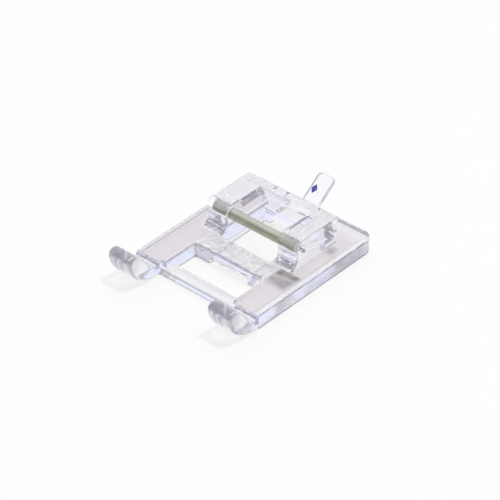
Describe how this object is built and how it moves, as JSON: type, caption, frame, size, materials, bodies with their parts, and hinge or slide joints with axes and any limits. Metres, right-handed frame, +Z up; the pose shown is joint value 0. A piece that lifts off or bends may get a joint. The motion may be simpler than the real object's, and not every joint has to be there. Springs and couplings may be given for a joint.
{
  "type": "sewing machine presser foot",
  "caption": "Clear clip-on satin stitch presser foot with curled toes, needle window, side rails, rear tab and a metal cross pin.",
  "frame": {"origin": "centre of the bounding box on the floor plane", "axes": "+Y from the toes to the rear tab, +Z up from the sole, X along the cross pin"},
  "size_m": [0.0224, 0.0298, 0.0089],
  "materials": {
    "clear_plastic": "polished clear moulding with faint tint",
    "pin_metal": "ground and lightly browned"
  },
  "bodies": {
    "root": {"moulded_foot": "clear_plastic", "cross_pin": "pin_metal"}
  },
  "joints": []
}
